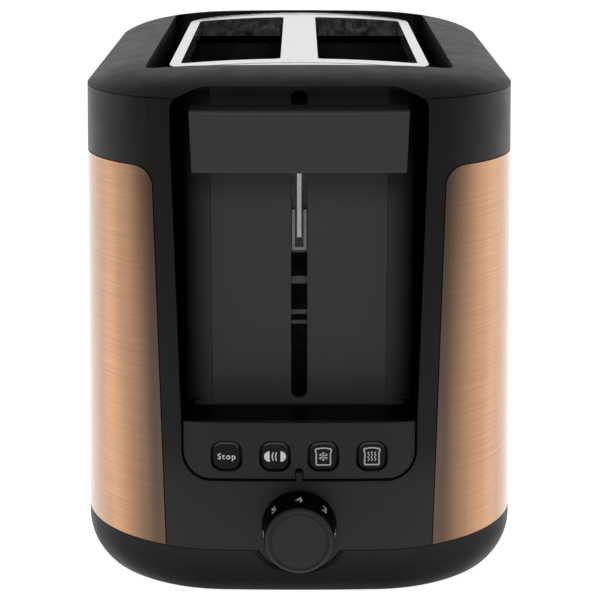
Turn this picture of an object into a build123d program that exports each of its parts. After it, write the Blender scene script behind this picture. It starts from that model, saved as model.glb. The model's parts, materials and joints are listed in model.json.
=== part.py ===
from build123d import *

import math
import os

# A two-slot pop-up toaster. Millimetres, +Z up, front (lever end) towards -Y, +X to the right from the front.
# The working frame has its origin at the middle of the body's plan, at the underside of the base tray.

# Heights
SEAM_Z = 18.2          # top of the base tray
CREASE_Z = 188.4       # edge between the housing and the top cover

# Body plan: a straight side, a wide corner arc, a tighter corner arc and a shallow front arc.
# Pairs are the values at the seam and at the crease, and the leaning walls are straight between them.
HALF_WIDTHS = (84.6, 80.8)
SIDE_HALVES = (76.3, 82.5)
WIDE_RADII = (61.8, 51.5)
TIGHT_RADII = (53.1, 41.2)
WIDE_TURN, TIGHT_TURN = 59.5, 28.1

ROLL_R = 20.0          # rolled lower edge of the base tray
ROLL_START_Z = 14.3
WALL = 2.6
SEAM_GAP = 0.25

# Crown of the top cover
CROWN_LIP = 0.4  # upright edge above the crease
CROWN_RISE = 8.6
CROWN_SOFTNESS = 10.8
CROWN_SIDE_FALL = 0.00028

# Side panels (brushed metal skins)
PANEL_BOTTOM_Z, PANEL_TOP_Z = 18.15, 163.4
PANEL_EDGE_BOTTOM_X, PANEL_EDGE_TOP_X = 50.25, 53.4
PANEL_CORNER_R = 7.0
PANEL_THICKNESS = 0.8
PANEL_SEAM = 0.4
PANEL_POCKET = 1.1

# Lever bay
BAY_BACK_Y = -112.2
BAY_FLOOR_Z = 68.1
BAY_CEILING_Z = 192.3
BAY_HALF_BOTTOM, BAY_HALF_TOP = 44.0, 46.7
BAY_TAPER_TOP_Z = 172.0
BAY_SHOULDER_X, BAY_SHOULDER_Z = 36.0, 187.8   # the slanted shoulder between side and ceiling
BAY_SHOULDER_RADII = (5.0, 15.0)
BAY_BACK_R = 11.0
BAY_WALL = 2.2

# Track panel and its slot
TRACK_HALF = 33.0
TRACK_BOTTOM_Z, TRACK_TOP_Z = 68.4, 190.0
TRACK_THICKNESS = BAY_WALL
SLOT_HALF = 3.1
SLOT_BOTTOM_Z, SLOT_TOP_Z = 70.6, 188.9

# Lever handle
HANDLE_HALF_BOTTOM, HANDLE_HALF_TOP = 38.9, 39.7
HANDLE_BOTTOM_Z, HANDLE_TOP_Z = 161.4, 184.2
HANDLE_BACK_Y = -116.6
HANDLE_WALL = 2.4
HANDLE_EDGE_R = 1.2
LEVER_TRAVEL = 56.0

# Control insert, buttons and dial
INSERT_HALF = 43.1
INSERT_BOTTOM_Z = 46.6
INSERT_CORNER_R = 10.0
INSERT_GROOVE = 0.95
INSERT_THICKNESS = 2.4
BUTTON_XS = {"stop": -27.1, "bagel": -9.0, "defrost": 9.0, "reheat": 27.1}
BUTTON_Z = 55.2
BUTTON_SIZE, BUTTON_R = 9.6, 3.1
BUTTON_HOLE, BUTTON_HOLE_R = 11.9, 4.2
BUTTON_BACK_Y, STEM_END_Y = -129.8, -127.4
POINTER_TOP_Z = 49.2
DIAL_Z = 28.1
DIAL_BASE_R, DIAL_FRONT_R = 14.1, 12.5
DIAL_BACK_Y, DIAL_FRONT_Y = -138.0, -153.9
DIAL_FACE_R, DIAL_RING_R = 10.7, 0.5   # soft groove around the face
SHAFT_R, SHAFT_CLEARANCE = 3.0, 0.05
TONGUE_R = 18.0        # round tongue of the housing behind the dial
CRADLE_GAP = 0.6
CRADLE_R = 20.4        # bevelled edge of the base tray below the dial
CRADLE_BEVEL = 1.0

# Top opening and the metal slot frame
OPENING_HALF = 57.8
OPENING_END_Y = 101.8
FRAME_HALF = 49.9
FRAME_END_Y = 98.5
FRAME_STRAIGHT_Y, OPENING_STRAIGHT_Y = 76.0, 95.0
FRAME_CORNER_R, OPENING_CORNER_R = 20.0, 5.0
FRAME_CROWN_Z, FRAME_EDGE_DROP = 196.3, 2.3
FRAME_SHEET = 1.0
FRAME_BEAD_Y, FRAME_BEAD_HALF = 90.5, 38.0   # pressed groove across each end
FRAME_FLANGE_Z = 187.6
SLOT_INNER_X, SLOT_OUTER_X = 7.2, 45.6
BREAD_HALF_LENGTH = 78.0
SLOT_CORNER_R = 2.5
WELL_Z = 184.4

# Chassis
FRONT_PLATE_Y, REAR_PLATE_Y = -90.0, 86.0
SHEET = 0.8
CHASSIS_BOTTOM_Z, CHASSIS_TOP_Z = 20.0, 183.6
CHASSIS_HALF = 57.0
HEATER_X = 50.5
MICA = 0.6
SLOT_CENTRE_X = (SLOT_INNER_X + SLOT_OUTER_X) / 2
RIBBON_TURNS, RIBBON_LOW_Z, RIBBON_PITCH = 12, 44.0, 11.0
RIBBON_HALF, RIBBON_THICKNESS = 0.8, 0.25
GUARD_WIRE_R = 0.8
GUARD_WIRES = 10
GUARD_END_Y, GUARD_LOW_Z, GUARD_HIGH_Z = 71.0, 62.0, 176.0
GUARD_EDGE = 0.9       # from the slot's edge to the middle of a guard's wires
GUARD_PLACES = {
    "bread_guard_left_outer": -SLOT_OUTER_X + GUARD_EDGE,
    "bread_guard_left_inner": -SLOT_INNER_X - GUARD_EDGE,
    "bread_guard_right_inner": SLOT_INNER_X + GUARD_EDGE,
    "bread_guard_right_outer": SLOT_OUTER_X - GUARD_EDGE,
}
CARRIER_Z = 108.0
ROD_X, ROD_Y, ROD_R = 16.0, -99.0, 2.0
CARRIAGE_BOTTOM_Z = 98.0
STRIP_HALF, STRIP_BOTTOM_Z = 0.8, 132.8
CLIP_HALF, CLIP_WALL, CLIP_BOTTOM_Z, CLIP_TOP_Z = 2.75, 1.1, 127.7, 143.2
CARRIAGE_Y = -103.0

# Crumb tray
CRUMB_HALF = 45.5
CRUMB_BOTTOM_Z, CRUMB_TOP_Z = 4.2, 12.4
CRUMB_FRONT_Y, CRUMB_REAR_Y = -84.0, 131.0

FOOT_X, FOOT_Y, FOOT_R = 58.0, 92.0, 8.0
FOOT_PROUD = 1.2
FOOT_PLACES = {
    "foot_front_left": (-FOOT_X, -FOOT_Y), "foot_front_right": (FOOT_X, -FOOT_Y),
    "foot_rear_left": (-FOOT_X, FOOT_Y), "foot_rear_right": (FOOT_X, FOOT_Y),
}
BASE_SCREWS = [(x, y) for x in (-70.0, 70.0) for y in (-66.0, 66.0)]

# Rear panel
REAR_PANEL_HALF, REAR_PANEL_LOW, REAR_PANEL_HIGH = 40.0, 26.0, 166.0
CORD_Z, CORD_HOLE_R = 38.0, 4.6
VENT_ROWS, VENT_LOW_Z, VENT_PITCH = 8, 92.0, 8.4

PARTS = {}


def add(name, shape):
    PARTS[name] = shape
    return shape


# ---------------------------------------------------------------- body plan

def at_height(pair, z):
    """A plan dimension at height z, from its values at the seam and at the crease."""
    return pair[0] + (pair[1] - pair[0]) * (z - SEAM_Z) / (CREASE_Z - SEAM_Z)


def plan_arcs(z):
    """Centre and radius of the wide, tight and front arcs of the +X, -Y quadrant at height z."""
    turn1 = math.radians(WIDE_TURN)
    turn2 = math.radians(WIDE_TURN + TIGHT_TURN)
    wide, tight = at_height(WIDE_RADII, z), at_height(TIGHT_RADII, z)
    x1, y1 = at_height(HALF_WIDTHS, z) - wide, -at_height(SIDE_HALVES, z)
    x2 = x1 + (wide - tight) * math.cos(turn1)
    y2 = y1 - (wide - tight) * math.sin(turn1)
    reach = x2 / math.cos(turn2)
    return ((x1, y1), wide), ((x2, y2), tight), ((0.0, y2 + reach * math.sin(turn2)), tight + reach)


FRONT_CENTRE, FRONT_R = plan_arcs(SEAM_Z)[2]
HALF_LENGTH = FRONT_R - FRONT_CENTRE[1]


def plan_face(inset, z=SEAM_Z):
    """The body's outline at height z, moved inward by inset, drawn on the ground plane."""
    (centre1, wide), (centre2, tight), (centre3, front_r) = plan_arcs(z)
    end_angle = WIDE_TURN + TIGHT_TURN
    corner = [
        CenterArc(centre1, wide - inset, -WIDE_TURN, WIDE_TURN),
        CenterArc(centre2, tight - inset, -end_angle, TIGHT_TURN),
    ]
    front = CenterArc(centre3, front_r - inset, -180 + end_angle, 180 - 2 * end_angle)
    half, straight = at_height(HALF_WIDTHS, z) - inset, at_height(SIDE_HALVES, z)
    side = Line((half, -straight), (half, straight))
    edges = list(corner) + [front, side]
    edges += [mirror(edge, about=Plane.YZ) for edge in corner + [side]]
    edges += [mirror(edge, about=Plane.XZ) for edge in corner + [front]]
    edges += [mirror(mirror(edge, about=Plane.YZ), about=Plane.XZ) for edge in corner]
    return make_face(Curve() + edges)


def body_block(inset, z_low, z_high):
    """The leaning body between two heights, moved inward by inset."""
    low = Pos(0, 0, z_low) * plan_face(inset, z_low)
    high = Pos(0, 0, z_high) * plan_face(inset, z_high)
    return loft([low, high], ruled=True)


def depth_inside(x, y):
    """Distance from the outline at the crease, measured inward."""
    x, y = abs(x), -abs(y)
    (centre1, wide), (centre2, tight), (centre3, front_r) = plan_arcs(CREASE_Z)
    if y > -SIDE_HALVES[1]:
        return HALF_WIDTHS[1] - x
    angle = math.degrees(math.atan2(centre1[1] - y, x - centre1[0]))
    if 0 <= angle <= WIDE_TURN:
        return wide - math.hypot(x - centre1[0], y - centre1[1])
    angle = math.degrees(math.atan2(centre2[1] - y, x - centre2[0]))
    if WIDE_TURN <= angle <= WIDE_TURN + TIGHT_TURN:
        return tight - math.hypot(x - centre2[0], y - centre2[1])
    return front_r - math.hypot(x, y - centre3[1])


def crown_z(x, y):
    """Height of the top cover: steep at the crease, flattening towards the slots, lower at the sides."""
    rise = CROWN_RISE - CROWN_SIDE_FALL * x * x
    return CREASE_Z + CROWN_LIP + rise * (1 - math.exp(-depth_inside(x, y) / CROWN_SOFTNESS))


def above_crown():
    """Everything above the crown surface."""
    columns, rows = 30, 46
    half_x, half_y = HALF_WIDTHS[0] + 2, HALF_LENGTH + 2
    points = []
    for i in range(columns + 1):
        x = half_x * (2 * i / columns - 1)
        line = []
        for j in range(rows + 1):
            y = half_y * (2 * j / rows - 1)
            line.append(Vector(x, y, crown_z(x, y)))
        points.append(line)
    surface = Face.make_surface_from_array_of_points(points, tol=0.02)
    return extrude(surface, amount=30, dir=(0, 0, 1))


def rounded_end_face(half_width, end_y, straight_y, corner_r):
    """A long outline with straight sides and softly bulged ends whose arcs meet the corner arcs smoothly."""
    centre_x = half_width - corner_r
    bulge = (end_y - straight_y - corner_r) / centre_x
    turn = 90 - 2 * math.degrees(math.atan(bulge))
    reach = centre_x / math.cos(math.radians(turn))
    end_centre_y = straight_y - reach * math.sin(math.radians(turn))
    corner = CenterArc((centre_x, straight_y), corner_r, 0, turn)
    end = CenterArc((0, end_centre_y), corner_r + reach, turn, 180 - 2 * turn)
    side = Line((half_width, -straight_y), (half_width, straight_y))
    edges = [corner, end, side, mirror(side, about=Plane.YZ), mirror(end, about=Plane.XZ)]
    edges += [mirror(corner, about=Plane.YZ), mirror(corner, about=Plane.XZ)]
    edges.append(mirror(mirror(corner, about=Plane.YZ), about=Plane.XZ))
    return make_face(Curve() + edges)


def front_prism(points, y_front, y_back):
    """A solid with the given outline in X and Z, from y_front to y_back."""
    face = Plane.XZ.offset(-y_back) * make_face(Polyline(*points, close=True))
    return extrude(face, amount=y_back - y_front)


def block(x0, x1, y0, y1, z0, z1):
    """A box given by its lowest and highest corners."""
    return Pos((x0 + x1) / 2, (y0 + y1) / 2, (z0 + z1) / 2) * Box(x1 - x0, y1 - y0, z1 - z0)


def rod_y(x, z, radius, y0, y1):
    """A round bar along Y."""
    return Pos(x, (y0 + y1) / 2, z) * Rot(90, 0, 0) * Cylinder(radius, y1 - y0)


def rod_z(x, y, radius, z0, z1):
    """A round bar along Z."""
    return Pos(x, y, (z0 + z1) / 2) * Cylinder(radius, z1 - z0)


def rod_x(y, z, radius, x0, x1):
    """A round bar along X."""
    return Pos((x0 + x1) / 2, y, z) * Rot(0, 90, 0) * Cylinder(radius, x1 - x0)


# ---------------------------------------------------------------- outer pieces

def bay_plan(half, grow):
    """Plan of the lever bay at one height: open at the front, with concave rear corners."""
    back = BAY_BACK_Y + grow
    side = half + grow
    face = make_face(Polyline((-side, -160), (-side, back), (side, back), (side, -160),
                              close=True))
    return fillet(face.vertices().sort_by(Axis.Y)[-2:], BAY_BACK_R + grow)


def bay_block(grow):
    """The space of the lever bay, widening upward, with rounded top corners; grow adds its wall."""
    low, ceiling = BAY_FLOOR_Z - 1.5 - grow, BAY_CEILING_Z + grow
    lower = loft([Pos(0, 0, low) * bay_plan(BAY_HALF_BOTTOM, grow),
                  Pos(0, 0, BAY_TAPER_TOP_Z) * bay_plan(BAY_HALF_TOP, grow)], ruled=True)
    upper = Pos(0, 0, BAY_TAPER_TOP_Z) * bay_plan(BAY_HALF_TOP, grow)
    upper = extrude(upper, amount=ceiling - BAY_TAPER_TOP_Z)
    half, shoulder_x, shoulder_z = BAY_HALF_TOP + grow, BAY_SHOULDER_X + grow / 3, BAY_SHOULDER_Z + grow * 0.7
    points = [(-half, low), (-half, shoulder_z), (-shoulder_x, ceiling),
              (shoulder_x, ceiling), (half, shoulder_z), (half, low)]
    front = Plane.XZ.offset(-BAY_BACK_Y - grow) * make_face(Polyline(*points, close=True))
    corners = front.vertices().sort_by(Axis.Z)
    front = fillet(corners[2:4], BAY_SHOULDER_RADII[0] + grow)
    front = fillet(front.vertices().sort_by(Axis.Z)[-2:], BAY_SHOULDER_RADII[1] + grow)
    return (lower + upper) & extrude(front, amount=60)


def insert_prism(grow, y_front, y_back):
    """The control insert's outline, with its round lower corners."""
    half, low, high = INSERT_HALF + grow, INSERT_BOTTOM_Z - grow * 1.25, BAY_FLOOR_Z + (3 if grow else 0)
    points = [(-half, high), (-half, low), (half, low), (half, high)]
    face = Plane.XZ.offset(-y_back) * make_face(Polyline(*points, close=True))
    corners = face.vertices().sort_by(Axis.Z)[:2]
    return extrude(fillet(corners, INSERT_CORNER_R + grow), amount=y_back - y_front)


def panel_prism(shrink):
    """Side panel outlines in X and Z, run through the whole length: both sides at once."""
    shape = None
    slope = (PANEL_EDGE_TOP_X - PANEL_EDGE_BOTTOM_X) / (PANEL_TOP_Z - PANEL_BOTTOM_Z)
    low, high = PANEL_BOTTOM_Z + shrink, PANEL_TOP_Z - shrink
    for side in (-1, 1):
        x_low = PANEL_EDGE_BOTTOM_X + slope * shrink + shrink
        x_high = PANEL_EDGE_TOP_X - slope * shrink + shrink
        points = [(side * x_low, low), (side * x_high, high), (side * 95, high), (side * 95, low)]
        face = Plane.XZ.offset(-HALF_LENGTH - 5) * make_face(Polyline(*points, close=True))
        corner = [v for v in face.vertices() if v.Z > high - 1 and abs(v.X) < 60]
        solid = extrude(fillet(corner, PANEL_CORNER_R), amount=2 * HALF_LENGTH + 10)
        shape = solid if shape is None else shape + solid
    return shape


def tongue(radius, y_back):
    """Round block about the dial's axis, from ahead of the front to y_back."""
    return rod_y(0, DIAL_Z, radius, -HALF_LENGTH - 3, y_back)


def base_outer(inset):
    """The base tray's outer form: vertical, then rolled under, with a flat underside."""
    bottom = ROLL_START_Z - ROLL_R
    form = extrude(Pos(0, 0, bottom) * plan_face(inset), amount=SEAM_Z - bottom)
    edges = [e for e in form.edges() if abs(e.center().Z - bottom) < 0.01]
    form = fillet(edges, ROLL_R - inset)
    return form - block(-100, 100, -150, 150, bottom - 1, inset)


def make_base_tray():
    tray = base_outer(0) - base_outer(WALL)
    rim_lap = extrude(Pos(0, 0, SEAM_Z - 5) * (plan_face(WALL - 0.8) - plan_face(WALL + 0.8)), amount=5)
    tray = tray + rim_lap
    for x in (-30, 30):
        tray = tray + block(x - 1, x + 1, CRUMB_FRONT_Y, 126, WALL - 0.5, CRUMB_BOTTOM_Z - 0.3)
    for x in (-CHASSIS_HALF + 3, CHASSIS_HALF - 3):
        for y in (FRONT_PLATE_Y, REAR_PLATE_Y):
            tray = tray + block(x - 4, x + 4, y - 4, y + 4, WALL - 0.5, CHASSIS_BOTTOM_Z)
    for x, y in FOOT_PLACES.values():
        tray = tray - rod_z(x, y, FOOT_R + 0.1, -1, 1.0) - rod_z(x, y, 2.6, 0, 5)
    tray = tray - tongue(TONGUE_R + CRADLE_GAP, -HALF_LENGTH + 12)
    bevel = Cone(TONGUE_R + CRADLE_GAP, 2 * CRADLE_R - TONGUE_R - CRADLE_GAP, 2 * CRADLE_BEVEL)
    tray = tray - Pos(0, -HALF_LENGTH, DIAL_Z) * Rot(90, 0, 0) * bevel
    crumb_gap = CRUMB_HALF + 1.5
    tray = tray - block(-crumb_gap, crumb_gap, 120, 140, CRUMB_BOTTOM_Z - 0.8, CRUMB_TOP_Z + 1.0)
    for x, y in BASE_SCREWS:
        tray = tray + rod_z(x, y, 4.2, WALL - 0.5, SEAM_Z)
        tray = tray - rod_z(x, y, 3.2, -1, 4.0) - rod_z(x, y, 1.7, 0, 20)
    return tray


def make_foot(x, y):
    pad = rod_z(x, y, FOOT_R, -FOOT_PROUD, 0.9)
    pad = fillet(pad.edges().sort_by(Axis.Z)[0], 0.6)
    return pad + rod_z(x, y, 2.4, 0.9, 4.5)


def make_housing():
    """Leaning wall with the lever bay's mouth, pockets for the side panels and the tongue behind the dial."""
    low, high = SEAM_Z + SEAM_GAP, CREASE_Z - SEAM_GAP
    walls = body_block(0, low, high) - body_block(WALL, low - 1, high + 1)
    dip = extrude(Pos(0, 0, low - 14) * plan_face(0), amount=14) & tongue(TONGUE_R, -HALF_LENGTH + 3.2)
    walls = walls + dip
    for x, y in BASE_SCREWS:
        rib_x = 76.0 * x / abs(x)
        walls = walls + rod_z(x, y, 4.2, low, 44) + (Pos(rib_x, y, (low + 44) / 2) * Box(12, 2, 44 - low))
        walls = walls - rod_z(x, y, 1.4, low - 1, 36)
    walls = walls - bay_block(0) - insert_prism(INSERT_GROOVE, -HALF_LENGTH - 5, BAY_BACK_Y)
    pocket = (body_block(-2, PANEL_BOTTOM_Z - 1, PANEL_TOP_Z + 1) - body_block(PANEL_POCKET, 15, 170))
    walls = walls - (pocket & panel_prism(0))
    walls = walls - rod_y(0, DIAL_Z, SHAFT_R + 1.5, -HALF_LENGTH - 5, -110)
    pointer_low = DIAL_Z + DIAL_BASE_R + 0.6
    pointer = block(-1.2, 1.2, -HALF_LENGTH - 0.3, -HALF_LENGTH + 1.8, pointer_low, POINTER_TOP_Z)
    return (walls - rear_window(0.3)) + pointer


def make_bay_liner():
    """Side walls and rear corners of the lever bay, from the housing's wall back to the track panel."""
    inside = body_block(WALL, SEAM_Z, CREASE_Z - SEAM_GAP)
    liner = (bay_block(BAY_WALL) & inside) - block(-60, 60, -150, -90, 0, BAY_FLOOR_Z - 2)
    liner = liner - bay_block(0) - track_window(0.15)
    return liner - insert_prism(INSERT_GROOVE, -HALF_LENGTH - 5, BAY_BACK_Y)


def track_window(grow):
    """The space that the track panel fills in the bay's back wall."""
    half = TRACK_HALF + grow
    return block(-half, half, BAY_BACK_Y - grow, BAY_BACK_Y + BAY_WALL + 1,
                 TRACK_BOTTOM_Z - grow, TRACK_TOP_Z + grow)


def rear_window(grow):
    """Outline of the rear panel's window."""
    half, low, high = REAR_PANEL_HALF + grow, REAR_PANEL_LOW - grow, REAR_PANEL_HIGH + grow
    points = [(-half, low), (-half, high), (half, high), (half, low)]
    face = Plane.XZ.offset(-HALF_LENGTH - 5) * make_face(Polyline(*points, close=True))
    return extrude(fillet(face.vertices(), 8.0 + grow), amount=20)


def make_rear_panel():
    panel = (body_block(0, 20, 180) - body_block(WALL - 0.2, 19, 181)) & rear_window(0)
    for row in range(VENT_ROWS):
        z = VENT_LOW_Z + row * VENT_PITCH
        for x in (-16.5, 16.5):
            vent = extrude(Plane.XZ.offset(-HALF_LENGTH - 5) * (Pos(x, z) * SlotOverall(25, 3.2)), amount=20)
            panel = panel - vent
    return panel - rod_y(0, CORD_Z, CORD_HOLE_R, 120, 140)


def make_cord_gland():
    """Rubber grommet in the rear panel, gripping its edge, with the inlet hole through it."""
    gland = rod_y(0, CORD_Z, CORD_HOLE_R - 0.05, 130, HALF_LENGTH - 1.0)
    gland = gland + rod_y(0, CORD_Z, CORD_HOLE_R + 2.0, 128, 131)
    return gland - rod_y(0, CORD_Z, 2.6, 120, 140)


def frame_outline(grow):
    """The metal frame's outline seen from above, with softly bulged ends; grow moves it outward."""
    return rounded_end_face(FRAME_HALF + grow, FRAME_END_Y + grow, FRAME_STRAIGHT_Y, FRAME_CORNER_R + grow)


def opening_outline(grow):
    """The top cover's opening seen from above; grow moves it outward."""
    return rounded_end_face(OPENING_HALF + grow, OPENING_END_Y + grow,
                            OPENING_STRAIGHT_Y, OPENING_CORNER_R + grow)


def make_top_cover():
    """Crowned ring above the crease, with the long opening, a lap inside the housing and the bay's hood."""
    low = CREASE_Z
    cover = body_block(0, low, low + 12) - above_crown()
    cover = cover - extrude(Pos(0, 0, WELL_Z - 5) * opening_outline(0), amount=40)
    cover = cover - bay_block(0) - track_window(0.15)
    hollow = loft([Pos(0, 0, low - 1) * plan_face(WALL, low),
                   Pos(0, 0, low + 2.8) * plan_face(20, low)], ruled=True)
    hollow = hollow - extrude(Pos(0, 0, low - 3) * opening_outline(1.4), amount=10) - bay_block(BAY_WALL)
    rim_height = low + 0.2 - WELL_Z - 1.6
    rim = extrude(Pos(0, 0, WELL_Z + 1.6) * (opening_outline(1.4) - opening_outline(0)), amount=rim_height)
    lap = body_block(WALL + 0.2, low - 3, low + 0.6) - body_block(WALL + 1.8, low - 4, low + 1)
    return (cover - hollow) + rim + (lap - bay_block(BAY_WALL + 0.4))


def make_slot_well():
    """Black trough between the cover's opening and the metal frame, with a lip inside the frame's flange."""
    floor = extrude(Pos(0, 0, WELL_Z) * (opening_outline(1.2) - frame_outline(-2.0)), amount=1.4)
    lip = extrude(Pos(0, 0, WELL_Z) * (frame_outline(-1.2) - frame_outline(-2.0)), amount=6.0)
    return floor + lip


def frame_arch(drop):
    """A wide shallow arch along Y whose top is the metal frame's surface, lowered by drop."""
    radius = (FRAME_HALF ** 2 + FRAME_EDGE_DROP ** 2) / (2 * FRAME_EDGE_DROP)
    return Pos(0, 0, FRAME_CROWN_Z - drop - radius) * Rot(90, 0, 0) * Cylinder(radius, 260)


def slot_hole(side, grow):
    """One bread slot's outline from above."""
    width = SLOT_OUTER_X - SLOT_INNER_X + 2 * grow
    face = Rectangle(width, 2 * (BREAD_HALF_LENGTH + grow))
    return Pos(side * SLOT_CENTRE_X, 0) * fillet(face.vertices(), SLOT_CORNER_R + grow)


def make_slot_frame():
    """Formed sheet around both bread slots: an arched face with flanges turned down at all its edges."""
    outline, within = frame_outline(0), frame_outline(-FRAME_SHEET)
    holes = slot_hole(-1, 0) + slot_hole(1, 0)
    rims = slot_hole(-1, FRAME_SHEET) + slot_hole(1, FRAME_SHEET)
    face = extrude(Pos(0, 0, 180) * (outline - holes), amount=30) & (frame_arch(0) - frame_arch(FRAME_SHEET))
    flange = extrude(Pos(0, 0, FRAME_FLANGE_Z + 2.6) * (outline - within), amount=12)
    inner_flange = extrude(Pos(0, 0, FRAME_FLANGE_Z) * (rims - holes), amount=14)
    frame = face + ((flange + inner_flange) & frame_arch(FRAME_SHEET / 2))
    for end in (-FRAME_BEAD_Y, FRAME_BEAD_Y):
        bead = block(-FRAME_BEAD_HALF, FRAME_BEAD_HALF, end - 1.1, end + 1.1,
                     FRAME_CROWN_Z - 5, FRAME_CROWN_Z + 5)
        frame = frame - (bead - frame_arch(FRAME_SHEET / 2))
    return frame


def make_side_panels():
    """Both brushed skins; they differ only in side."""
    skin = body_block(0, PANEL_BOTTOM_Z - 1, PANEL_TOP_Z + 1) - body_block(PANEL_THICKNESS, 15, 170)
    skin = skin & panel_prism(PANEL_SEAM)
    left, right = skin.solids().sort_by(Axis.X)
    return left, right


def make_track_panel():
    """Flat back wall of the lever bay with the lever's vertical slot."""
    panel = block(-TRACK_HALF, TRACK_HALF, BAY_BACK_Y, BAY_BACK_Y + TRACK_THICKNESS,
                  TRACK_BOTTOM_Z, TRACK_TOP_Z)
    centre_z, height = (SLOT_BOTTOM_Z + SLOT_TOP_Z) / 2, SLOT_TOP_Z - SLOT_BOTTOM_Z
    slot = Pos(0, centre_z) * Rot(0, 0, 90) * SlotOverall(height, 2 * SLOT_HALF)
    return panel - extrude(Plane.XZ.offset(-BAY_BACK_Y - 8) * slot, amount=20)


def make_control_insert():
    """Curved fascia for the buttons with the shelf that floors the lever bay."""
    fascia = (body_block(0, 30, 90) - body_block(INSERT_THICKNESS, 29, 91))
    fascia = fascia & insert_prism(0, -HALF_LENGTH - 5, -110)
    shelf = insert_prism(0, -HALF_LENGTH - 5, BAY_BACK_Y - 0.1)
    shelf = shelf & block(-60, 60, -150, -100, BAY_FLOOR_Z - 2, 90)
    shelf = shelf & body_block(0, 30, 90)
    insert = fascia + shelf
    for x in BUTTON_XS.values():
        insert = insert - button_prism(x, BUTTON_HOLE, BUTTON_HOLE_R)
    notch_face = Pos(0, INSERT_BOTTOM_Z) * Rot(0, 0, 90) * SlotOverall(8.4, 3.1)
    notch = extrude(Plane.XZ.offset(100) * notch_face, 60)
    return insert - notch


def button_prism(x, size, radius):
    """A square bar with rounded corners along Y at a button's place."""
    face = Rectangle(size, size)
    face = fillet(face.vertices(), radius)
    return extrude(Plane.XZ.offset(120) * (Pos(x, BUTTON_Z) * face), amount=25)


def make_button(x):
    """Cap that follows the fascia's curve, with a retaining flange and a stem to its switch."""
    cap = button_prism(x, BUTTON_SIZE, BUTTON_R) & body_block(0.1, 30, 90)
    cap = cap - block(x - 10, x + 10, BUTTON_BACK_Y, -110, 40, 70)
    flange_face = Rectangle(BUTTON_SIZE + 3.4, BUTTON_SIZE + 3.4)
    flange = extrude(Plane.XZ.offset(-BUTTON_BACK_Y) * (Pos(x, BUTTON_Z) * flange_face), amount=1.2)
    return cap + flange + rod_y(x, BUTTON_Z, 2.0, BUTTON_BACK_Y, STEM_END_Y)


def make_dial_knob():
    """Slightly tapered knob with a rounded shoulder, a fine ring around its face and a blind socket."""
    length = DIAL_BACK_Y - DIAL_FRONT_Y
    middle = (DIAL_BACK_Y + DIAL_FRONT_Y) / 2
    knob = Pos(0, middle, DIAL_Z) * Rot(90, 0, 0) * Cone(DIAL_BASE_R, DIAL_FRONT_R, length)
    front = knob.edges().sort_by(Axis.Y)[0]
    knob = fillet(front, 1.6)
    knob = knob - Pos(0, DIAL_FRONT_Y, DIAL_Z) * Rot(90, 0, 0) * Torus(DIAL_FACE_R, DIAL_RING_R)
    knob = fillet(knob.edges().filter_by(GeomType.CIRCLE).sort_by(Axis.Y)[:2].sort_by(SortBy.RADIUS)[0], 0.6)
    return knob - rod_y(0, DIAL_Z, SHAFT_R, DIAL_BACK_Y - 10, DIAL_BACK_Y + 1)


def make_lever_handle():
    """Wide bar with a curved front, bevelled ends and a hollow underside, with a socket for the stem."""
    points = [(-HANDLE_HALF_BOTTOM, HANDLE_BOTTOM_Z), (-HANDLE_HALF_TOP, HANDLE_TOP_Z),
              (HANDLE_HALF_TOP, HANDLE_TOP_Z), (HANDLE_HALF_BOTTOM, HANDLE_BOTTOM_Z)]
    bar = front_prism(points, -HALF_LENGTH - 5, HANDLE_BACK_Y)
    bar = bar & extrude(Pos(0, 0, 100) * plan_face(0, CREASE_Z), amount=120)
    bar = fillet(bar.faces().sort_by(Axis.Y)[0].edges(), HANDLE_EDGE_R)
    hollow = block(-HANDLE_HALF_BOTTOM + HANDLE_WALL, HANDLE_HALF_BOTTOM - HANDLE_WALL,
                   -128.5, HANDLE_BACK_Y - HANDLE_WALL, HANDLE_BOTTOM_Z - 1, HANDLE_TOP_Z - HANDLE_WALL - 1)
    bar = bar - hollow
    boss = block(-4.5, 4.5, -130.5, HANDLE_BACK_Y - 0.5, HANDLE_BOTTOM_Z + 3, HANDLE_TOP_Z - 2)
    return bar + boss - stem_tongue()


# ---------------------------------------------------------------- inner pieces

def stem_tongue():
    """The part of the stem that reaches from the carriage into the handle."""
    return block(-STRIP_HALF, STRIP_HALF, -129.5, CARRIAGE_Y - 1.2, 168, 178)


def make_lever_stem():
    """Edge-on steel tongue from the handle through the slot, with a long strip behind the track panel."""
    return stem_tongue() + block(-STRIP_HALF, STRIP_HALF, -108.6, CARRIAGE_Y - 1.2, STRIP_BOTTOM_Z, 181)


def make_stem_clip():
    """U-shaped clip round the strip's lower end."""
    outer = block(-CLIP_HALF, CLIP_HALF, -107.8, CARRIAGE_Y - 1.2, CLIP_BOTTOM_Z, CLIP_TOP_Z)
    inside = CLIP_HALF - CLIP_WALL
    return outer - block(-inside, inside, -110, -100, CLIP_BOTTOM_Z + CLIP_WALL, CLIP_TOP_Z + 1)


def make_carriage():
    """Sheet plate with two sleeves on the guide rods, a window crossed by two bars, and wide lower ears."""
    front, back = CARRIAGE_Y - 1.2, CARRIAGE_Y
    plate = block(-24, 24, front, back, CARRIAGE_BOTTOM_Z, 182)
    plate = plate + block(-29, 29, front, back, CARRIAGE_BOTTOM_Z, 112)
    plate = plate - block(-6, 6, front - 1, back + 1, CARRIAGE_BOTTOM_Z + 1.4, 126)
    for low, high in ((101.8, 103.6), (113.8, 116.7)):
        plate = plate + block(-7, 7, front, back, low, high)
    for x in (-ROD_X, ROD_X):
        for low, high in ((CARRIAGE_BOTTOM_Z, 116), (158, 172)):
            web = block(x - 1.5, x + 1.5, back - 0.5, ROD_Y - 1, low, high)
            plate = plate + (rod_z(x, ROD_Y, 3.6, low, high) + web)
        plate = plate - rod_z(x, ROD_Y, ROD_R + SHAFT_CLEARANCE, 90, 190)
    return plate


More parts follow.
